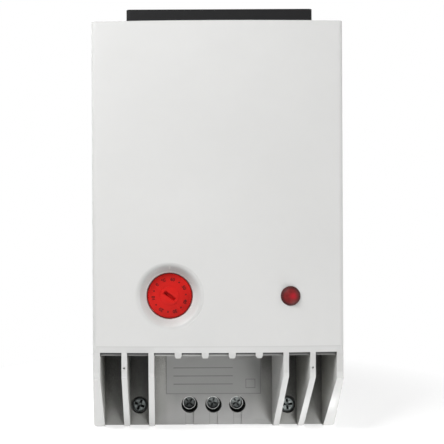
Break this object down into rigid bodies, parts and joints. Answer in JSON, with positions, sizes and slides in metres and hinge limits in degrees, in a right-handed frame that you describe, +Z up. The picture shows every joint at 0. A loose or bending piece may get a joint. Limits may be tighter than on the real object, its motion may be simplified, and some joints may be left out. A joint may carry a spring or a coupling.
{
  "type": "enclosure heater",
  "caption": "Compact fan heater for a control enclosure, with ribbed terminal recess, thermostat dial, pilot lamp, top fan and rail clip.",
  "frame": {"origin": "middle of the footprint at the housing's flat bottom", "axes": "+X to the right seen from the front, +Y to the back, +Z up"},
  "size_m": [0.1006, 0.128, 0.1764],
  "materials": {
    "housing_plastic": "light grey, fine satin texture",
    "fan_plastic": "black, glass filled, matt",
    "motor_winding": "lacquered winding",
    "screw_steel": "zinc plated",
    "cap_plastic": "heat resistant, matt",
    "fin_aluminium": "plain",
    "strip_ceramic": "insulating jacket",
    "device_plastic": "light grey, matt",
    "dial_red": "red, satin",
    "lamp_red": "dark red, translucent look",
    "clamp_brass": "plain",
    "label_film": "grey film, blank",
    "clip_steel": "spring steel, zinc plated",
    "lead_brown": "insulation",
    "lead_black": "insulation",
    "lead_blue": "insulation"
  },
  "bodies": {
    "housing": {"front_cover": "housing_plastic", "rear_shell": "housing_plastic", "fan_frame": "fan_plastic", "fan_motor": "motor_winding", "fan_screws": "screw_steel", "heater_end_left": "cap_plastic", "heater_end_right": "cap_plastic", "fin_pack_front": "fin_aluminium", "fin_pack_middle": "fin_aluminium", "fin_pack_rear": "fin_aluminium", "ptc_strip_front": "strip_ceramic", "ptc_strip_rear": "strip_ceramic", "heater_screws": "screw_steel", "thermal_cutout": "fin_aluminium", "thermostat_body": "device_plastic", "lamp_lens": "lamp_red", "lamp_body": "device_plastic", "terminal_block": "device_plastic", "terminal_clamps": "clamp_brass", "terminal_screws": "screw_steel", "cover_screws": "screw_steel", "rating_label": "label_film", "rail_clip": "clip_steel", "clip_screws": "screw_steel", "lead_live": "lead_brown", "lead_switched": "lead_black", "lead_heater": "lead_black", "lead_neutral": "lead_blue", "lead_fan": "lead_black", "lead_lamp": "lead_black"},
    "dial": {"thermostat_dial": "dial_red"},
    "impeller": {"fan_impeller": "fan_plastic"}
  },
  "joints": [
    {"name": "dial_turn", "type": "hinge", "parent": "housing", "child": "dial", "pos_m": [-0.01857, -0.05953, 0.0566], "axis": [0, -1, 0], "range_deg": [-5, 312]},
    {"name": "fan_spin", "type": "hinge", "parent": "housing", "child": "impeller", "pos_m": [0.0039, 0.01527, 0.155], "axis": [0, 0, 1], "continuous": true}
  ]
}
